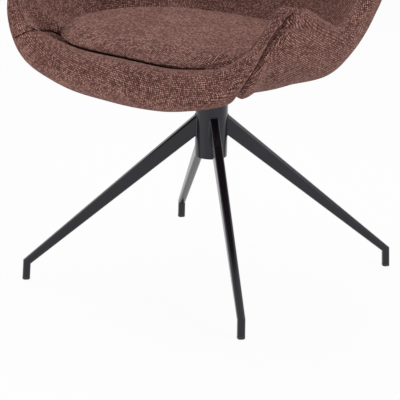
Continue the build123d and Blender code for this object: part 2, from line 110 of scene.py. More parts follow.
# Grid and unevenness of the covers
OUTSIDE_ROWS = 46
RIM_ROWS = 12
CREST_ROWS = 18
LIP_ROWS = 8
INSIDE_ROWS = 40
ROLL_COLUMNS = 230
WRAP_COLUMNS = 400
EDGE_CROWDING = 0.82
PATTERN_ROWS = 18
PATTERN_COLUMNS = 45
SHARP_ANGLE = math.radians(60)
DIMPLE_SIZE = 0.085
DIMPLE_DEPTH = 0.0011
PUCKER_SIZE = 0.022
PUCKER_DEPTH = 0.0007
PUCKER_REACH = 0.03

# Loose cushion
CUSHION_CENTRE = -0.084
CUSHION_CORNER = 0.168
CUSHION_HALF_WIDTH = 0.245
CUSHION_SIDES = 180
CUSHION_HEART = np.array([0, CUSHION_CENTRE + 0.03])
CUSHION_BOTTOM = 0.4328
CUSHION_BOTTOM_INSET = 0.086
CUSHION_BOTTOM_SHARES = (0.02, 0.5, 1.0)
# Insets and levels of the underside's rings
CUSHION_UNDERSIDE = [(0.048, 0.4425), (0.019, 0.4530), (0.0055, 0.4590)]
CUSHION_RIM_INSET = 0.0035
CUSHION_SEAM = 0.4615
CUSHION_SHOULDER = 0.4675
CUSHION_SHOULDER_DROP = 0.003
CUSHION_TOP_SHARES = (0.985, 0.95, 0.9, 0.8, 0.65, 0.5, 0.35, 0.2, 0.02)
CUSHION_CROWN = 0.008
CUSHION_BACK_LIFT = 0.0005
CUSHION_SIDE_LIFT = 0.0070
CUSHION_VOXEL = 0.004
CUSHION_PUFF = 0.007
CUSHION_PRESSURE = 4.0
CUSHION_HELD_MARGIN = 0.001
CLOTH_FRAMES = 20
STITCH_LINE_POINTS = 1600
STITCH_INSET = 0.0085
STITCH_LENGTH = 0.0052
STITCH_PITCH = 0.0082
STITCH_RADIUS = 0.00055
STITCH_POINTS = 4
STITCH_LIFT = 0.0001
STITCH_END_SINK = 0.0007
STITCH_RAY_START = 0.6
GROOVE_DEPTH = 0.0014
GROOVE_WIDTH = 0.0028
GROOVE_UPWARD = 0.2

# Foam core: shares of its radius and height, from the bottom's middle to the top's
CORE_PROFILE = [
    (0.002, 0), (0.35, 0), (0.7, 0), (0.93, 0), (0.985, 0.06), (1, 0.2), (1, 0.5),
    (1, 0.8), (0.985, 0.94), (0.93, 1), (0.7, 1), (0.35, 1), (0.002, 1),
]
CORE_SIDES = 72

# Base
HUB_RADIUS = 0.030
LEG_ANGLES = (50, 140, 230, 320)
LEG_START = Vector((HUB_RADIUS, 0, 0.289))
LEG_END = Vector((0.34322, 0, 0.034))
LEG_WIDTH = 0.017
LEG_DEPTH = 0.031
LEG_CORNER = 0.0045
LEG_CORNER_STEPS = 8
BEAD_RADIUS = 0.0013
BEAD_STEPS = 150
BEAD_SIDES = 8
BEAD_RIPPLE = 0.18
BEAD_RIPPLE_STEPS = 5

# Tweed: the weave's pitch and turn, how far its yarns wander, how much each part
# adds to its shade, and the colours along that shade
WEAVE_LAYER = "weave"
WRAP_YARN_PITCH = 0.00245
WRAP_YARN_TURN = math.radians(38)
PAD_YARN_PITCH = 0.0029
PAD_YARN_TURN = math.radians(33)
YARN_WANDER = 0.0016
YARN_WANDER_SCALE = 60
LIGHT_YARN_SHARE = 0.32
CROSSING_SHARE = 0.34
SLUB_SHARE = 0.14
PATCH_SHARE = 0.16
# Painted shade: each yarn crossing is coloured darker towards its edges, as if shaded by its own roundness
PAINTED_YARN_SHADE_SHARE = 0.24
FIBRE_SHARE = 0.12
SHADE_OFFSET = 0.225
FABRIC_SHADES = [
    (0.16, (0.0318, 0.01113, 0.009328)),
    (0.36, (0.0954, 0.039008, 0.032118)),
    (0.50, (0.1696, 0.07526, 0.062328)),
    (0.64, (0.2862, 0.13992, 0.11607)),
    (0.86, (0.5724, 0.33708, 0.28408)),
]
PLY_PITCH = 0.004

# Studio: share of its own glow that the floor has for the room's light and for the
# camera, strength of the room's light, and lamps with their place, size and power
FLOOR_SIZE = 14.0
FLOOR_LIGHT = 0.47
FLOOR_WHITE = 0.95
WORLD_LIGHT = 0.21
WORLD_WHITE = 1.0
LIGHT_AIM = Vector((0, 0, 0.4))
LIGHTS = [
    ("top", (-0.8, 0.4, 2.6), 1.6, 36),
    ("right", (2.2, 0.5, 1.9), 1.4, 27),
    ("fill", (-0.9, -2.6, 0.35), 1.2, 36),
    ("side", (2.7, -0.8, 0.4), 1.2, 9),
]

# Camera, solved from the four feet in the photograph
VIEW_TURN = math.radians(40.59)
VIEW_PITCH = math.radians(17.39)
VIEW_ROLL = math.radians(1.06)
VIEW_DISTANCE = 3.588
VIEW_CENTRE = Vector((-0.01863, 0, 0.14249))
VIEW_LENS = 172.44
VIEW_SENSOR = 36
VIEW_END = 100


def mix(low, high, share):
    """Value at a share of the way from one to another."""
    return low + (high - low) * share


def thin(share):
    """Thickness at a share of the way from the front roll to the thin rim."""
    return mix(ROLL_THICKNESS, RIM_THICKNESS, share)


# Each station is a section of the bucket: its angle, the reach, height and thickness
# of its rim, the lean of its wall and the rise of its underside
STATIONS = np.array(
    [
        (0, FRONT_REACH, ROLL_HEIGHT, ROLL_THICKNESS, 60, 0),
        (20, mix(FRONT_REACH, ARM_REACH, 0.13), ROLL_HEIGHT, thin(0.02), 61, 2),
        (34, mix(FRONT_REACH, ARM_REACH, 0.40), mix(ROLL_HEIGHT, ARM_HEIGHT, 0.05), thin(0.07), 64, 6),
        (43, mix(FRONT_REACH, ARM_REACH, 0.71), mix(ROLL_HEIGHT, ARM_HEIGHT, 0.19), thin(0.4), 68, 9),
        (51, mix(FRONT_REACH, ARM_REACH, 0.94), mix(ROLL_HEIGHT, ARM_HEIGHT, 0.53), thin(0.76), 72, 12),
        (58, ARM_REACH, ARM_HEIGHT, thin(0.88), 78, 14),
        (66, mix(ARM_REACH, DIP_REACH, 0.30), mix(ARM_HEIGHT, DIP_HEIGHT, 0.13), RIM_THICKNESS, 82, 15),
        (76, mix(ARM_REACH, DIP_REACH, 0.70), mix(ARM_HEIGHT, DIP_HEIGHT, 0.62), RIM_THICKNESS, 84, 17),
        (88, DIP_REACH, DIP_HEIGHT, RIM_THICKNESS, 84, 17),
        (100, WAIST_REACH, mix(DIP_HEIGHT, BACK_HEIGHT, 0.073), thin(0.95), 82, 15),
        (114, mix(WAIST_REACH, WING_REACH, 0.46), mix(DIP_HEIGHT, BACK_HEIGHT, 0.264), thin(0.95), 81, 9),
        (132, WING_REACH, mix(DIP_HEIGHT, BACK_HEIGHT, 0.613), RIM_THICKNESS, 81, 5),
        (155, mix(WING_REACH, BACK_REACH, 0.46), mix(DIP_HEIGHT, BACK_HEIGHT, 0.9), RIM_THICKNESS, 82, 4),
        (180, BACK_REACH, BACK_HEIGHT, RIM_THICKNESS, 83, 4),
    ],
    float,
)


# Material nodes


def new_material(name):
    """A node material and its shader."""
    material = bpy.data.materials.new(name)
    material.use_nodes = True
    return material, material.node_tree, material.node_tree.nodes["Principled BSDF"]


def feed(tree, socket, value):
    """Set an input to a value, or link an output to it."""
    if isinstance(value, bpy.types.NodeSocket):
        tree.links.new(value, socket)
    else:
        socket.default_value = value


def set_inputs(node, values):
    """Set several inputs of a node to values."""
    for name, value in values.items():
        node.inputs[name].default_value = value


def calc(tree, operation, *values):
    """A math node of that operation."""
    node = tree.nodes.new("ShaderNodeMath")
    node.operation = operation
    for socket, value in zip(node.inputs, values):
        feed(tree, socket, value)
    return node.outputs[0]


def vector_calc(tree, operation, *values):
    """A vector math node of that operation."""
    node = tree.nodes.new("ShaderNodeVectorMath")
    node.operation = operation
    for socket, value in zip(node.inputs, values):
        feed(tree, socket, value)
    return node.outputs[0]


def parts_of(tree, vector):
    """The X, Y and Z of a vector."""
    node = tree.nodes.new("ShaderNodeSeparateXYZ")
    tree.links.new(vector, node.inputs[0])
    return node.outputs


def noise_node(tree, vector, scale, detail=2.0, roughness=0.5):
    """Noise at a vector, with features of 1/scale metres."""
    node = tree.nodes.new("ShaderNodeTexNoise")
    tree.links.new(vector, node.inputs["Vector"])
    set_inputs(node, {"Scale": scale, "Detail": detail, "Roughness": roughness})
    return node


def noise_at(*settings):
    """Noise as one value."""
    return noise_node(*settings).outputs["Fac"]


def mapped(tree, vector, scale, turn=0.0):
    """A vector scaled and turned about Z."""
    node = tree.nodes.new("ShaderNodeMapping")
    tree.links.new(vector, node.inputs["Vector"])
    set_inputs(node, {"Scale": scale, "Rotation": (0, 0, turn)})
    return node.outputs[0]


def ramp(tree, value, stops):
    """Colours at positions along a value."""
    node = tree.nodes.new("ShaderNodeValToRGB")
    tree.links.new(value, node.inputs[0])
    elements = node.color_ramp.elements
    while len(elements) < len(stops):
        elements.new(0.5)
    for element, (position, colour) in zip(elements, stops):
        element.position = position
        element.color = (*colour, 1)
    return node.outputs["Color"]


def span(tree, value, low, high):
    """A value from 0 to 1 spread between two limits."""
    node = tree.nodes.new("ShaderNodeMapRange")
    tree.links.new(value, node.inputs["Value"])
    set_inputs(node, {"To Min": low, "To Max": high})
    return node.outputs[0]


def bump(tree, shader, height, distance, strength):
    """Surface relief of a real depth."""
    node = tree.nodes.new("ShaderNodeBump")
    tree.links.new(height, node.inputs["Height"])
    set_inputs(node, {"Distance": distance, "Strength": strength})
    tree.links.new(node.outputs[0], shader.inputs["Normal"])


def object_space(tree):
    """Coordinates of the object itself, in metres."""
    return tree.nodes.new("ShaderNodeTexCoord").outputs["Object"]


def tone(colour, factor):
    """A colour made lighter or darker."""
    return tuple(min(1.0, factor * c) for c in colour)


# Materials


def tweed(name, pitch, turn):
    """Mauve-brown tweed: light yarns woven over and under dark ones, each crossing a little different."""
    material, tree, shader = new_material(name)
    pattern = tree.nodes.new("ShaderNodeUVMap")
    pattern.uv_map = WEAVE_LAYER
    place = pattern.outputs[0]
    solid = object_space(tree)
    drift = noise_node(tree, place, YARN_WANDER_SCALE, 1).outputs["Color"]
    wander = vector_calc(tree, "MULTIPLY_ADD", drift, (YARN_WANDER, YARN_WANDER, 0), place)
    yarns = mapped(tree, wander, (1 / pitch,) * 3, turn)
    cell = vector_calc(tree, "FLOOR", yarns)
    crossing = tree.nodes.new("ShaderNodeTexWhiteNoise")
    tree.links.new(cell, crossing.inputs["Vector"])
    number = parts_of(tree, cell)
    light_over = calc(tree, "FLOORED_MODULO", calc(tree, "ADD", number[0], number[1]), 2.0)
    within = parts_of(tree, vector_calc(tree, "FRACTION", yarns))
    across, along = (calc(tree, "SINE", calc(tree, "MULTIPLY", within[k], math.pi)) for k in (0, 1))
    # Swell of each crossing, highest at its middle: it lifts the bump, and in the colour it is painted
    # shade that darkens the crossing's edges
    swell = calc(tree, "POWER", calc(tree, "MULTIPLY", across, along), 0.5)
    slub = noise_at(tree, mapped(tree, wander, (330, 60, 330), turn), 1.0, 1)
    fibre = noise_at(tree, solid, 1300)
    patch = noise_at(tree, solid, 24)
    shade = calc(tree, "MULTIPLY", crossing.outputs["Value"], CROSSING_SHARE)
    shade = calc(tree, "SUBTRACT", shade, SHADE_OFFSET)
    for part, share in (
        (light_over, LIGHT_YARN_SHARE),
        (slub, SLUB_SHARE),
        (patch, PATCH_SHARE),
        (swell, PAINTED_YARN_SHADE_SHARE),
        (fibre, FIBRE_SHARE),
    ):
        shade = calc(tree, "MULTIPLY_ADD", part, share, shade)
    feed(tree, shader.inputs["Base Color"], ramp(tree, shade, FABRIC_SHADES))
    feed(tree, shader.inputs["Roughness"], span(tree, fibre, 1.0, 0.86))
    set_inputs(shader, {"Specular IOR Level": 0.12, "Sheen Weight": 0.07, "Sheen Roughness": 0.4})
    set_inputs(shader, {"Sheen Tint": (0.80, 0.56, 0.50, 1)})
    height = calc(tree, "MULTIPLY_ADD", fibre, 0.2, calc(tree, "MULTIPLY_ADD", slub, 0.2, swell))
    bump(tree, shader, height, 0.0005, 0.5)
    return material


def thread(name, colour):
    """Twisted sewing thread."""
    material, tree, shader = new_material(name)
    twist = noise_at(tree, object_space(tree), 1500, 1)
    feed(tree, shader.inputs["Base Color"], ramp(tree, twist, [(0.35, tone(colour, 0.55)), (0.65, colour)]))
    set_inputs(shader, {"Roughness": 0.9, "Specular IOR Level": 0.1})
    bump(tree, shader, twist, 0.0002, 0.6)
    return material


def powder_coat(name, colour):
    """Satin black powder coat: fine orange peel, and a little uneven gloss."""
    material, tree, shader = new_material(name)
    solid = object_space(tree)
    peel = noise_at(tree, solid, 700)
    cloud = noise_at(tree, solid, 26, 3)
    feed(tree, shader.inputs["Base Color"], ramp(tree, cloud, [(0.3, colour), (0.75, tone(colour, 1.5))]))
    feed(tree, shader.inputs["Roughness"], span(tree, cloud, 0.15, 0.27))
    set_inputs(shader, {"Specular IOR Level": 0.32, "Specular Tint": (0.92, 0.93, 1.0, 1)})
    set_inputs(shader, {"Coat Weight": 0.32, "Coat Roughness": 0.10})
    bump(tree, shader, peel, 0.00008, 0.35)
    return material


def moulded(name, colour, roughness):
    """Moulded plastic with a fine grain."""
    material, tree, shader = new_material(name)
    solid = object_space(tree)
    grain = noise_at(tree, solid, 1600)
    cloud = noise_at(tree, solid, 60)
    feed(tree, shader.inputs["Base Color"], ramp(tree, cloud, [(0.35, colour), (0.7, tone(colour, 1.25))]))
    feed(tree, shader.inputs["Roughness"], span(tree, grain, roughness - 0.08, roughness + 0.1))
    bump(tree, shader, grain, 0.00006, 0.5)
    return material


def turned_steel(name, colour, roughness):
    """Steel with fine turning marks round the swivel axis."""
    material, tree, shader = new_material(name)
    solid = object_space(tree)
    marks = noise_at(tree, mapped(tree, solid, (60, 60, 2200)), 1.0)
    cloud = noise_at(tree, solid, 90)
    feed(tree, shader.inputs["Base Color"], ramp(tree, cloud, [(0.3, tone(colour, 0.7)), (0.65, colour)]))
    feed(tree, shader.inputs["Roughness"], span(tree, marks, roughness - 0.07, roughness + 0.1))
    set_inputs(shader, {"Metallic": 1.0})
    bump(tree, shader, marks, 0.00004, 0.4)
    return material


def plywood(name):
    """Birch plywood: grain on the faces, plies on the edge."""
    material, tree, shader = new_material(name)
    solid = object_space(tree)
    grain = noise_at(tree, mapped(tree, solid, (14, 240, 60)), 1.0, 4, 0.6)
    level = parts_of(tree, solid)[2]
    plies = calc(tree, "SINE", calc(tree, "MULTIPLY", level, 2 * math.pi / PLY_PITCH))
    shade = calc(tree, "MULTIPLY_ADD", plies, 0.07, grain)
    stops = [(0.3, (0.30, 0.17, 0.08)), (0.5, (0.52, 0.35, 0.19)), (0.7, (0.66, 0.49, 0.30))]
    feed(tree, shader.inputs["Base Color"], ramp(tree, shade, stops))
    feed(tree, shader.inputs["Roughness"], span(tree, grain, 0.6, 0.8))
    bump(tree, shader, grain, 0.0002, 0.4)
    return material


def foam(name):
    """Open-celled upholstery foam."""
    material, tree, shader = new_material(name)
    cells = noise_at(tree, object_space(tree), 900, 3, 0.7)
    stops = [(0.35, (0.42, 0.37, 0.24)), (0.6, (0.66, 0.60, 0.44))]
    feed(tree, shader.inputs["Base Color"], ramp(tree, cells, stops))
    set_inputs(shader, {"Roughness": 0.95})
    bump(tree, shader, cells, 0.0008, 0.7)
    return material


wrap_tweed = tweed("tweed_wrap", WRAP_YARN_PITCH, WRAP_YARN_TURN)
pad_tweed = tweed("tweed_pad", PAD_YARN_PITCH, PAD_YARN_TURN)
dark_thread = thread("thread_dark", (0.030, 0.012, 0.011))
coat = powder_coat("black_powder_coat", (0.0035, 0.0035, 0.0065))
slot_materials = {
    "black_steel": coat,
    "black_plastic": moulded("black_moulding", (0.011, 0.011, 0.012), 0.5),
    "bush_plastic": moulded("natural_nylon", (0.46, 0.44, 0.38), 0.42),
    "bearing_steel": turned_steel("ground_steel", (0.55, 0.55, 0.57), 0.24),
    "plain_steel": turned_steel("zinc_plated_steel", (0.50, 0.51, 0.53), 0.34),
    "plywood": plywood("birch_plywood"),
    "foam": foam("cut_foam"),
    "upholstery": pad_tweed,
}
for subpart in frame["record"]["subparts"]:
    node_object = frame["nodes"][subpart["node"]]
    node_object.data.materials.clear()
    node_object.data.materials.append(slot_materials[subpart["material_slot"]])


# Shape of the bucket


def tangent_slopes(places, values):
    """Slopes at the places that keep the curve between them free of overshoot."""
    steps = np.diff(places)
    rates = np.diff(values) / steps
    slopes = np.zeros(len(values))
    for i in range(1, len(values) - 1):
        if rates[i - 1] * rates[i] > 0:
            before = 2 * steps[i] + steps[i - 1]
            after = steps[i] + 2 * steps[i - 1]
            slopes[i] = (before + after) / (before / rates[i - 1] + after / rates[i])
    return slopes


def smooth_between(places, values, wanted):
    """Values at the wanted places, on a smooth curve through the given ones."""
    places, values = np.asarray(places, float), np.asarray(values, float)
    slopes = tangent_slopes(places, values)
    i = np.clip(np.searchsorted(places, wanted, side="right") - 1, 0, len(places) - 2)
    step = places[i + 1] - places[i]
    t = (wanted - places[i]) / step
    curve = values[i] * (1 + 2 * t) * (1 - t) ** 2 + values[i + 1] * t * t * (3 - 2 * t)
    return curve + step * (slopes[i] * t * (1 - t) ** 2 + slopes[i + 1] * t * t * (t - 1))


def bend(start, start_slope, end, end_slope, share):
    """Point at a share of the way along a line, an arc and a line between two ends."""
    gap = end[0] - start[0], end[1] - start[1]
    turn = end_slope - start_slope
    run = (gap[0] * np.sin(end_slope) - gap[1] * np.cos(end_slope)) / np.sin(turn)
    climb = (gap[1] * np.cos(start_slope) - gap[0] * np.sin(start_slope)) / np.sin(turn)
    cut = BEND_SHARE * np.minimum(run, climb)
    radius = cut / np.tan(turn / 2)
    way = share * (run + climb - 2 * cut + radius * turn)
    first = np.minimum(way, run - cut)
    slope = start_slope + np.clip(way - first, 0, radius * turn) / radius
    last = np.maximum(way - (run - cut) - radius * turn, 0)
    reach = start[0] + np.cos(start_slope) * first + np.cos(end_slope) * last
    level = start[1] + np.sin(start_slope) * first + np.sin(end_slope) * last
    reach = reach + radius * (np.sin(slope) - np.sin(start_slope))
    return reach, level + radius * (np.cos(start_slope) - np.cos(slope))


def surface(angle, place):
    """Points of the bucket's skin at angles from the front and places along the section."""
    angle, place = np.broadcast_arrays(np.asarray(angle, float), np.asarray(place, float))
    mirrored = np.abs((angle + 180) % 360 - 180)
    fields = [smooth_between(STATIONS[:, 0], STATIONS[:, k], mirrored) for k in range(1, 6)]
    reach, height, thickness = fields[:3]
    lean, rise = np.radians(fields[3]), np.radians(fields[4])

    def rim(turn):
        half = thickness / 2
        return reach + half * np.cos(lean + turn), SHELL_BOTTOM + height + half * np.sin(lean + turn)

    outside = bend((CORE_RADIUS, SHELL_BOTTOM), rise, rim(-np.pi / 2), lean, np.clip(place, 0, 1))
    over = rim(np.pi * np.clip(place - 1, 0, 1) - np.pi / 2)
    inside = bend((CORE_RADIUS, SEAT_FLOOR), 0 * lean, rim(np.pi / 2), lean, np.clip(3 - place, 0, 1))
    radius = np.where(place < 1, outside[0], np.where(place < 2, over[0], inside[0]))
    level = np.where(place < 1, outside[1], np.where(place < 2, over[1], inside[1]))
    turn = np.radians(angle)
    return np.stack([radius * np.sin(turn), -radius * np.cos(turn), level], -1)


def surface_normal(angle, place):
    """Unit normals of the skin, out of the padding."""
    around = surface(angle + NORMAL_ANGLE_STEP, place) - surface(angle - NORMAL_ANGLE_STEP, place)
    along = surface(angle, place + NORMAL_PLACE_STEP) - surface(angle, place - NORMAL_PLACE_STEP)
    normal = np.cross(around, along)
    return normal / np.linalg.norm(normal, axis=-1, keepdims=True)


def seam_angle(place):
    """Angle at which the front roll's cover ends, at places along the section."""
    return smooth_between(*zip(*ROLL_SEAM), np.asarray(place, float))


def welt_depth(place):
    """Depth of the roll's side seam: deep outside, lost along the crest and fine inside."""
    return np.interp(place, *zip(*WELT_PROFILE))


# Meshes


def lengths_along(points, axis):
    """Distance from the first point along an axis of a grid."""
    steps = np.linalg.norm(np.diff(points, axis=axis), axis=-1)
    zero = np.zeros_like(np.take(steps, [0], axis=axis))
    return np.concatenate([zero, np.cumsum(steps, axis=axis)], axis=axis)


def noise_field(points, size):
    """Smooth noise between -1 and 1 at points, with bumps of that size."""
    flat = [noise.noise(Vector(p) / size) for p in points.reshape(-1, 3)]
    return np.array(flat).reshape(points.shape[:-1])


def corner_vertices(mesh):
    """Vertex of each face corner of a mesh."""
    corners = np.zeros(len(mesh.loops), np.int32)
    mesh.loops.foreach_get("vertex_index", corners)
    return corners


def lay_weave(mesh, places):
    """Give each vertex of a mesh its place in the weave."""
    layer = mesh.uv_layers.new(name=WEAVE_LAYER)
    layer.data.foreach_set("uv", np.asarray(places, np.float32)[corner_vertices(mesh)].ravel())


def new_object(name, vertices, faces, material, weave=None):
    """A smooth mesh object, with its vertices' places in the weave if it is covered in tweed."""
    mesh = bpy.data.meshes.new(name)
    mesh.from_pydata([tuple(v) for v in vertices], [], faces)
    if weave is not None:
        lay_weave(mesh, weave)
    mesh.shade_smooth()
    mesh.set_sharp_from_angle(angle=SHARP_ANGLE)
    mesh.materials.append(material)
    created = bpy.data.objects.new(name, mesh)
    bpy.context.scene.collection.objects.link(created)
    return created


def grid_faces(rows, columns):
    """Faces of a grid of points."""
    corners = ((0, 0), (0, 1), (1, 1), (1, 0))
    return [
        tuple((i + down) * columns + j + along for down, along in corners)
        for i in range(rows - 1)
        for j in range(columns - 1)
    ]


def sheet_faces(rows, columns):
    """Faces of a thick sheet: an outer grid of points, an inner one and the wall round their edges."""
    count = rows * columns
    outer = grid_faces(rows, columns)
    inner = [tuple(count + corner for corner in (face[0], *face[:0:-1])) for face in outer]
    edge = [i * columns for i in range(rows)]
    edge += [(rows - 1) * columns + j for j in range(1, columns)]
    edge += [i * columns + columns - 1 for i in range(rows - 2, -1, -1)]
    edge += list(range(columns - 2, 0, -1))
    wall = [(a, b, count + b, count + a) for a, b in zip(edge, edge[1:] + edge[:1])]
    return outer + inner + wall


def stacked(rings):
    """Vertices and faces of a closed stack of rings, from the bottom up."""
    count = len(rings[0])
    faces = [tuple(range(count))[::-1]]
    for i in range(len(rings) - 1):
        for j in range(count):
            k = (j + 1) % count
            faces.append((i * count + j, i * count + k, (i + 1) * count + k, (i + 1) * count + j))
    faces.append(tuple(range((len(rings) - 1) * count, len(rings) * count)))
    return np.concatenate(rings), faces


def tube(path, radii, sides, closed):
    """Vertices and faces of a tube along points, with a radius at each or one for all."""
    path = np.asarray(path, float)
    radii = np.broadcast_to(radii, len(path))
    ahead = np.roll(path, -1, 0) - np.roll(path, 1, 0)
    if not closed:
        ahead[0] = path[1] - path[0]
        ahead[-1] = path[-1] - path[-2]
    ahead /= np.linalg.norm(ahead, axis=1, keepdims=True)
    helper = np.where(np.abs(ahead[:, 2:]) > 0.9, [[1.0, 0, 0]], [[0, 0, 1.0]])
    side = np.cross(ahead, helper)
    side /= np.linalg.norm(side, axis=1, keepdims=True)
    up = np.cross(side, ahead)
    turn = np.linspace(0, 2 * np.pi, sides, endpoint=False)
    ring = side[:, None] * np.cos(turn)[:, None] + up[:, None] * np.sin(turn)[:, None]
    vertices = (path[:, None] + ring * radii[:, None, None]).reshape(-1, 3)
    faces = []
    for i in range(len(path) if closed else len(path) - 1):
        k = (i + 1) % len(path)
        for j in range(sides):
            m = (j + 1) % sides
            faces.append((i * sides + j, k * sides + j, k * sides + m, i * sides + m))
    if not closed:
        faces.append(tuple(range(sides)))
        faces.append(tuple(range((len(path) - 1) * sides, len(path) * sides))[::-1])
    return vertices, faces


def joined(pieces):
    """Several lots of vertices and faces as one."""
    vertices, faces, start = [], [], 0
    for some, sides in pieces:
        vertices.append(some)
        faces += [tuple(start + i for i in face) for face in sides]
        start += len(some)
    return np.concatenate(vertices), faces


# Covers of the bucket


def unwrapped(points):
    """Texture coordinates of a grid of points, unwrapped with little stretch."""
    rows, columns = points.shape[:2]
    sheet = new_object("pattern", points.reshape(-1, 3), grid_faces(rows, columns), wrap_tweed)
    # Every selected object would go into edit mode too
    for other in bpy.context.selected_objects:
        other.select_set(False)
    bpy.context.view_layer.objects.active = sheet
    sheet.select_set(True)
    bpy.ops.object.mode_set(mode="EDIT")
    bpy.ops.mesh.select_all(action="SELECT")
    bpy.ops.uv.unwrap(method="MINIMUM_STRETCH", margin=0)
    bpy.ops.object.mode_set(mode="OBJECT")
    mesh = sheet.data
    corners = corner_vertices(mesh)
    found = np.zeros(2 * len(corners), np.float32)
    mesh.uv_layers.active.data.foreach_get("uv", found)
    flat = np.zeros((rows * columns, 2))
    flat[corners] = found.reshape(-1, 2)
    bpy.data.objects.remove(sheet)
    bpy.data.meshes.remove(mesh)
    return flat.reshape(rows, columns, 2)


def spread(values, known, count):
    """Rows of values, given at known row numbers, at all of a count of rows."""
    lines = values.reshape(len(known), -1).T
    full = [np.interp(np.arange(count), known, line) for line in lines]
    return np.array(full).T.reshape(count, *values.shape[1:])


def laid_flat(points):
    """Texture coordinates, in metres, of a fine grid of points laid flat with little stretch."""
    high, wide = points.shape[:2]
    rows = np.unique(np.linspace(0, high - 1, PATTERN_ROWS).round().astype(int))
    columns = np.unique(np.linspace(0, wide - 1, PATTERN_COLUMNS).round().astype(int))
    coarse = points[np.ix_(rows, columns)]
    flat = unwrapped(coarse)
    scale = lengths_along(coarse, 1)[:, -1].sum() / lengths_along(flat, 1)[:, -1].sum()
    middle = len(columns) // 2
    down = flat[-1, middle] - flat[0, middle]
    down /= np.linalg.norm(down)
    flat = np.stack([flat @ np.array([-down[1], down[0]]), flat @ down], -1) * scale
    tall = spread(flat, rows, high)
    return spread(tall.swapaxes(0, 1), columns, wide).swapaxes(0, 1)


def seam_tuck(points, line, depth, width):
    """How far points sink towards a seam of a depth and width along its line."""
    known = np.arange(len(line))
    steps = np.arange(0, len(line) - 1 + SEAM_SUBSTEP / 2, SEAM_SUBSTEP)
    fine = np.stack([np.interp(steps, known, line[:, k]) for k in range(3)], -1)
    depth, width = (np.interp(steps, known, np.broadcast_to(field, len(line))) for field in (depth, width))
    tree = KDTree(len(fine))
    for index, point in enumerate(fine):
        tree.insert(point, index)
    tree.balance()
    found = [tree.find(point)[1:] for point in points.reshape(-1, 3)]
    index = np.array([pair[0] for pair in found]).reshape(points.shape[:-1])
    distance = np.array([pair[1] for pair in found]).reshape(points.shape[:-1])
    return depth[index] * np.exp(-((distance / width[index]) ** 2))


def skin(name, places, low, high, columns, welt_width, ends):
    """A closed cover over part of the bucket, between two angles at each place. ends are
    the depths of the seams along its first and last row."""
    t = np.linspace(0, 1, columns + 1)
    t = t - EDGE_CROWDING * np.sin(2 * np.pi * t) / (2 * np.pi)
    place = np.repeat(places[:, None], columns + 1, 1)
    angle = low[:, None] + (high - low)[:, None] * t
    points = surface(angle, place)
    normal = surface_normal(angle, place)
    around = lengths_along(points, 1)
    along = lengths_along(points, 0)
    to_side = np.minimum(around, around[:, -1:] - around)
    welt = welt_depth(places)
    width = np.interp(places, WELT_NARROWING, (welt_width, LINING_SEAM_WIDTH))
    tuck = seam_tuck(points, points[:, 0], welt, width) + seam_tuck(points, points[:, -1], welt, width)
    for depth, to_end in zip(ends, (along, along[-1:] - along)):
        tuck = tuck + depth * np.exp(-((to_end / LINING_SEAM_WIDTH) ** 2))
    puckers = noise_field(points, PUCKER_SIZE) * np.exp(-to_side / PUCKER_REACH) * PUCKER_DEPTH
    tuck = tuck + DIMPLE_DEPTH * noise_field(points, DIMPLE_SIZE) + puckers
    outer = points - normal * tuck[..., None]
    inner = outer - normal * SKIN_THICKNESS
    vertices = np.concatenate([outer.reshape(-1, 3), inner.reshape(-1, 3)])
    flat = laid_flat(points).reshape(-1, 2)
    return new_object(name, vertices, sheet_faces(*place.shape), wrap_tweed, np.concatenate([flat, flat]))


outside_places = np.linspace(0, 1, OUTSIDE_ROWS + 1)
rim_places = np.linspace(1, RIM_SEAM, RIM_ROWS + 1)
crest_places = np.linspace(RIM_SEAM, CREST_END, CREST_ROWS + 1)
lip_places = np.linspace(CREST_END, 2, LIP_ROWS + 1)
inside_places = np.linspace(2, 3, INSIDE_ROWS + 1)
shell_places = np.concatenate([outside_places[:-1], rim_places])
lining_places = np.concatenate([crest_places, lip_places[1:], inside_places[1:]])
roll_places = np.concatenate([shell_places, lining_places[1:]])

roll_angles = seam_angle(roll_places)
front_roll = skin(
    "front_roll_cover",
    roll_places,
    -roll_angles,
    roll_angles,
    ROLL_COLUMNS,
    ROLL_WELT_WIDTH,
    (0, 0),
)
shell_angles = seam_angle(shell_places)
outer_shell = skin(
    "outer_shell_cover",
    shell_places,
    shell_angles,
    360 - shell_angles,
    WRAP_COLUMNS,
    SHELL_WELT_WIDTH,
    (0, RIM_SEAM_DEPTH),
)
lining_angles = seam_angle(lining_places)
lining = skin(
    "arm_and_back_lining",
    lining_places,
    lining_angles,
    360 - lining_angles,
    WRAP_COLUMNS,
    LINING_SEAM_WIDTH,
    (RIM_SEAM_DEPTH, 0),
)


def sew_line(angles, places, sink):
    """A thread along a seam, sunk under the skin."""
    points = surface(angles, places) - surface_normal(angles, places) * sink
    return tube(points, THREAD_RADIUS, THREAD_SIDES, False)


arm_threads = []
seam_places = np.linspace(*LINING_THREAD_SPAN, LINING_THREAD_STEPS)
welt_places = np.linspace(*WELT_THREAD_SPAN, WELT_THREAD_STEPS)
welt_sinks = welt_depth(welt_places)[:, None] + WELT_THREAD_SINK
for places, sinks in ((seam_places, LINING_THREAD_SINK), (welt_places, welt_sinks)):
    arm_threads += [sew_line(side * seam_angle(places), places, sinks) for side in (1, -1)]

# The roll's cover is pieced once, by a short seam over the crest of the sitter's right arm
cross_places = np.linspace(CROSS_SEAM[0][0], CROSS_SEAM[-1][0], CROSS_THREAD_STEPS)
cross_angles = -np.interp(cross_places, *zip(*CROSS_SEAM))
arm_threads.append(sew_line(cross_angles, cross_places, CROSS_THREAD_SINK))
arm_seams = new_object("arm_seam_threads", *joined(arm_threads), dark_thread)

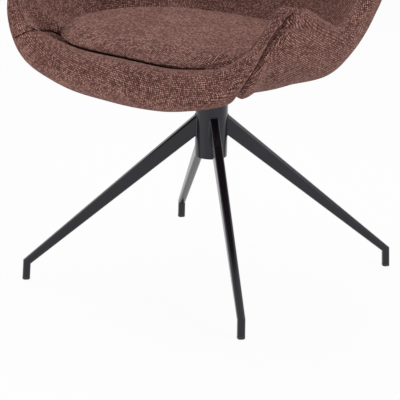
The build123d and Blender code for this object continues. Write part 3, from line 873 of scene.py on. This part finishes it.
roll_points = np.array([vertex.co for vertex in front_roll.data.vertices])
roll_normals = np.array([vertex.normal for vertex in front_roll.data.vertices])
half = len(roll_points) // 2
cross_line = surface(cross_angles, cross_places)
sunk = seam_tuck(roll_points[:half], cross_line, CROSS_SEAM_DEPTH, LINING_SEAM_WIDTH)
sunk = sunk[:, None] * roll_normals[:half]
roll_points -= np.concatenate([sunk, sunk])
front_roll.data.vertices.foreach_set("co", roll_points.astype(np.float32).ravel())
front_roll.data.update()


# Seat cushion, puffed up over its own seam


def cushion_outline(inset, count):
    """Points round the cushion: straight front, quarter-round corners, round back."""
    middle = CUSHION_HALF_WIDTH - CUSHION_CORNER
    corner, back = CUSHION_CORNER - inset, CUSHION_HALF_WIDTH - inset
    runs = [2 * middle, corner * math.pi / 2, back * math.pi, corner * math.pi / 2]
    points = []
    for way in np.arange(count) / count * sum(runs):
        if way < runs[0]:
            points.append((way - middle, CUSHION_CENTRE - corner))
            continue
        way -= runs[0]
        if way < runs[1]:
            turn = way / corner - math.pi / 2
            points.append((middle + corner * math.cos(turn), CUSHION_CENTRE + corner * math.sin(turn)))
            continue
        way -= runs[1]
        if way < runs[2]:
            turn = way / back
            points.append((back * math.cos(turn), CUSHION_CENTRE + back * math.sin(turn)))
            continue
        turn = (way - runs[2]) / corner + math.pi
        points.append((corner * math.cos(turn) - middle, CUSHION_CENTRE + corner * math.sin(turn)))
    return np.array(points)


def level_ring(points, level):
    """Points of a plan at one level."""
    return np.column_stack([points, np.full(len(points), level)])


def lifted_ring(points, level):
    """Points of a plan at a level, a little higher towards the cushion's back and sides."""
    back = np.clip(0.5 + (points[:, 1] - CUSHION_CENTRE) / (2 * CUSHION_HALF_WIDTH), 0, 1)
    side = (points[:, 0] / CUSHION_HALF_WIDTH) ** 2
    lift = CUSHION_BACK_LIFT * back * back * (3 - 2 * back) + CUSHION_SIDE_LIFT * side
    return np.column_stack([points, level + lift])


def cushion_blank():
    """The cushion before it is filled: a closed stack of rings."""
    rim = cushion_outline(CUSHION_RIM_INSET, CUSHION_SIDES)
    bottom = cushion_outline(CUSHION_BOTTOM_INSET, CUSHION_SIDES)
    rings = [level_ring(mix(CUSHION_HEART, bottom, k), CUSHION_BOTTOM) for k in CUSHION_BOTTOM_SHARES]
    for inset, level in CUSHION_UNDERSIDE:
        rings.append(level_ring(cushion_outline(inset, CUSHION_SIDES), level))
    rings.append(level_ring(rim, CUSHION_SEAM))
    rings.append(lifted_ring(rim, CUSHION_SHOULDER - CUSHION_SHOULDER_DROP))
    for k in CUSHION_TOP_SHARES:
        level = CUSHION_SHOULDER + CUSHION_CROWN * (1 - k * k)
        rings.append(lifted_ring(mix(CUSHION_HEART, rim, k), level))
    return new_object("seat_cushion_pad", *stacked(rings), pad_tweed)


def apply_modifiers(target):
    """Make a piece's modifiers part of its mesh."""
    bpy.context.view_layer.update()
    evaluated = target.evaluated_get(bpy.context.evaluated_depsgraph_get())
    mesh = bpy.data.meshes.new_from_object(evaluated)
    target.modifiers.clear()
    target.data = mesh


def puff(target):
    """Fill a closed cover by cloth simulation, held below its seam."""
    remesh = target.modifiers.new("remesh", "REMESH")
    remesh.mode = "VOXEL"
    remesh.voxel_size = CUSHION_VOXEL
    apply_modifiers(target)
    before = np.array([v.co for v in target.data.vertices])
    held = target.vertex_groups.new(name="held")
    top = CUSHION_SEAM + CUSHION_HELD_MARGIN
    held.add([i for i, p in enumerate(before) if p[2] < top], 1.0, "REPLACE")
    cloth = target.modifiers.new("cloth", "CLOTH")
    cloth.settings.use_pressure = True
    cloth.settings.uniform_pressure_force = CUSHION_PRESSURE
    cloth.settings.vertex_group_mass = "held"
    cloth.settings.effector_weights.gravity = 0
    for number in range(1, CLOTH_FRAMES + 1):
        bpy.context.scene.frame_set(number)
    apply_modifiers(target)
    bpy.context.scene.frame_set(1)
    target.vertex_groups.clear()
    after = np.array([v.co for v in target.data.vertices])
    move = after - before
    size = np.linalg.norm(move, axis=1, keepdims=True)
    move *= np.minimum(1, CUSHION_PUFF / np.maximum(size, 1e-9))
    target.data.vertices.foreach_set("co", (before + move).astype(np.float32).ravel())
    subdivide = target.modifiers.new("subdivide", "SUBSURF")
    subdivide.levels = 1
    apply_modifiers(target)


def sew_groove(target, line):
    """Press a groove along a line into the upper side of the cushion."""
    tree = KDTree(len(line))
    for index, (x, y) in enumerate(line):
        tree.insert((x, y, 0), index)
    tree.balance()
    vertices = target.data.vertices
    upper = [v for v in vertices if v.normal.z > GROOVE_UPWARD and v.co.z > CUSHION_SEAM]
    for vertex in upper:
        distance = tree.find((vertex.co.x, vertex.co.y, 0))[2]
        vertex.co.z -= GROOVE_DEPTH * math.exp(-((distance / GROOVE_WIDTH) ** 2))


def weave_from_above(target):
    """Lay the weave over the cushion from above, and on down its edge."""
    mesh = target.data
    points = np.array([vertex.co for vertex in mesh.vertices])
    outward = points[:, :2] - np.array([0, CUSHION_CENTRE])
    outward /= np.maximum(np.linalg.norm(outward, axis=1, keepdims=True), 1e-6)
    while mesh.uv_layers:
        mesh.uv_layers.remove(mesh.uv_layers[0])
    lay_weave(mesh, points[:, :2] + outward * np.maximum(CUSHION_SHOULDER - points[:, 2:], 0))


cushion = cushion_blank()
puff(cushion)
stitch_line = cushion_outline(STITCH_INSET, STITCH_LINE_POINTS)
sew_groove(cushion, stitch_line)
cushion.data.shade_smooth()
cushion.data.materials.clear()
cushion.data.materials.append(pad_tweed)
cushion.data.update()
weave_from_above(cushion)

# Stitches in the groove
cushion_shape = BVHTree.FromObject(cushion, bpy.context.evaluated_depsgraph_get())
closed_line = np.concatenate([stitch_line, stitch_line[:1]])
stitch_ways = lengths_along(closed_line, 0)


def on_cushion(way):
    """Point on top of the cushion at a distance along its stitch line."""
    x, y = (np.interp(way, stitch_ways, closed_line[:, k]) for k in (0, 1))
    hit = cushion_shape.ray_cast(Vector((x, y, STITCH_RAY_START)), Vector((0, 0, -1)))[0]
    return np.array([x, y, (hit.z if hit else CUSHION_SHOULDER) + STITCH_LIFT])


stitches = []
for start in np.arange(0, stitch_ways[-1] - STITCH_PITCH, STITCH_PITCH):
    points = [on_cushion(start + STITCH_LENGTH * k / (STITCH_POINTS - 1)) for k in range(STITCH_POINTS)]
    points[0][2] -= STITCH_END_SINK
    points[-1][2] -= STITCH_END_SINK
    stitches.append(tube(points, STITCH_RADIUS, THREAD_SIDES, False))
cushion_stitches = new_object("cushion_stitches", *joined(stitches), dark_thread)

# Foam core under the cushion: a cut disc with softened edges
core_low, core_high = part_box("core_foam")
core_turn = np.linspace(0, 2 * np.pi, CORE_SIDES, endpoint=False)
core_circle = core_high.x * np.column_stack([np.cos(core_turn), np.sin(core_turn)])
core_rings = [
    level_ring(core_circle * share, mix(core_low.z, core_high.z, level)) for share, level in CORE_PROFILE
]
core = new_object("core_foam_disc", *stacked(core_rings), slot_materials["foam"])


# Weld beads where the legs meet the hub


def leg_outline():
    """Closed outline of a leg's section, with round corners."""
    half_width, half_depth = LEG_WIDTH / 2 - LEG_CORNER, LEG_DEPTH / 2 - LEG_CORNER
    outline = []
    for corner, (sx, sy) in enumerate(((1, 1), (-1, 1), (-1, -1), (1, -1))):
        for k in range(LEG_CORNER_STEPS + 1):
            swing = math.radians(90 * (corner + k / LEG_CORNER_STEPS))
            across = sx * half_width + LEG_CORNER * math.cos(swing)
            outline.append((across, sy * half_depth + LEG_CORNER * math.sin(swing)))
    return np.array(outline + outline[:1])


def weld_bead(turn):
    """Rippled bead round a leg's end on the hub."""
    axis = (LEG_END - LEG_START).normalized()
    upward = Vector((-axis.z, 0, axis.x))
    outline = leg_outline()
    ways = lengths_along(outline, 0)
    path = []
    for way in np.linspace(0, ways[-1], BEAD_STEPS, endpoint=False):
        across, rise = (np.interp(way, ways, outline[:, k]) for k in (0, 1))
        point = LEG_START + upward * rise + Vector((0, across, 0))
        point += axis * ((math.sqrt(HUB_RADIUS**2 - across**2) - point.x) / axis.x)
        path.append(Matrix.Rotation(math.radians(turn), 3, "Z") @ point)
    ripple = np.sin(np.arange(BEAD_STEPS) * 2 * np.pi / BEAD_RIPPLE_STEPS)
    return tube(path, BEAD_RADIUS * (1 + BEAD_RIPPLE * ripple), BEAD_SIDES, True)


welds = new_object("hub_welds", *joined([weld_bead(turn) for turn in LEG_ANGLES]), coat)

# What each piece rides on and stands for
for piece, slot in (
    (front_roll, "upholstery"),
    (outer_shell, "upholstery"),
    (lining, "upholstery"),
    (arm_seams, "upholstery"),
    (cushion, "upholstery"),
    (cushion_stitches, "upholstery"),
    (core, "foam"),
):
    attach(piece, "seat")
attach(welds, "base")
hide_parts("front_roll")
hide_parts("outer_shell")
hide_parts("inner_padding")
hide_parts("seat_cushion")
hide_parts("core_foam")


# Studio: pale floor, white surroundings and soft light


def seen_directly(tree):
    """1 where the camera sees a surface itself, or in gloss or through glass."""
    rays = tree.nodes.new("ShaderNodeLightPath").outputs
    seen = calc(tree, "MAXIMUM", rays["Is Camera Ray"], rays["Is Glossy Ray"])
    return calc(tree, "MAXIMUM", seen, rays["Is Transmission Ray"])


def floor_paint():
    """Pale floor that glows, so that it looks white but keeps the chair's shadow."""
    material, tree, shader = new_material("studio_floor")
    set_inputs(shader, {"Base Color": (0.86, 0.86, 0.86, 1), "Roughness": 0.9})
    glow = tree.nodes.new("ShaderNodeEmission")
    set_inputs(glow, {"Color": (1, 1, 1, 1)})
    blend = tree.nodes.new("ShaderNodeMixShader")
    tree.links.new(span(tree, seen_directly(tree), FLOOR_LIGHT, FLOOR_WHITE), blend.inputs[0])
    tree.links.new(shader.outputs[0], blend.inputs[1])
    tree.links.new(glow.outputs[0], blend.inputs[2])
    tree.links.new(blend.outputs[0], tree.nodes["Material Output"].inputs["Surface"])
    return material


def softbox(name, place, size, power):
    """A square area light that faces the chair."""
    light = bpy.data.lights.new(name, "AREA")
    light.energy = power
    light.size = size
    lamp = bpy.data.objects.new(name, light)
    lamp.location = place
    lamp.rotation_euler = (LIGHT_AIM - Vector(place)).to_track_quat("-Z", "Y").to_euler()
    bpy.context.scene.collection.objects.link(lamp)


floor_corners = FLOOR_SIZE * np.array([(-1, -1, 0), (1, -1, 0), (1, 1, 0), (-1, 1, 0)])
floor = new_object("floor", floor_corners, [(0, 1, 2, 3)], floor_paint())

world = bpy.data.worlds.new("studio")
bpy.context.scene.world = world
world.use_nodes = True
background = world.node_tree.nodes["Background"]
set_inputs(background, {"Color": (1, 1, 1, 1)})
strength = span(world.node_tree, seen_directly(world.node_tree), WORLD_LIGHT, WORLD_WHITE)
world.node_tree.links.new(strength, background.inputs["Strength"])

for settings in LIGHTS:
    softbox(*settings)

# Camera
camera_data = bpy.data.cameras.new("camera")
camera_data.lens = VIEW_LENS
camera_data.sensor_width = VIEW_SENSOR
camera_data.clip_end = VIEW_END
camera = bpy.data.objects.new("camera", camera_data)
bpy.context.scene.collection.objects.link(camera)
forward = Vector((0, math.cos(VIEW_PITCH), -math.sin(VIEW_PITCH)))
right = Vector((1, 0, 0))
up = right.cross(forward)
swing = Matrix.Rotation(VIEW_TURN, 3, "Z")
eye = swing @ (VIEW_CENTRE - forward * VIEW_DISTANCE)
tilted_right = swing @ (right * math.cos(VIEW_ROLL) + up * math.sin(VIEW_ROLL))
tilted_up = swing @ (up * math.cos(VIEW_ROLL) - right * math.sin(VIEW_ROLL))
axes = Matrix((tilted_right, tilted_up, swing @ -forward)).transposed()
camera.matrix_world = Matrix.Translation(eye) @ axes.to_4x4()
bpy.context.scene.camera = camera
bpy.context.scene.view_settings.view_transform = "Standard"
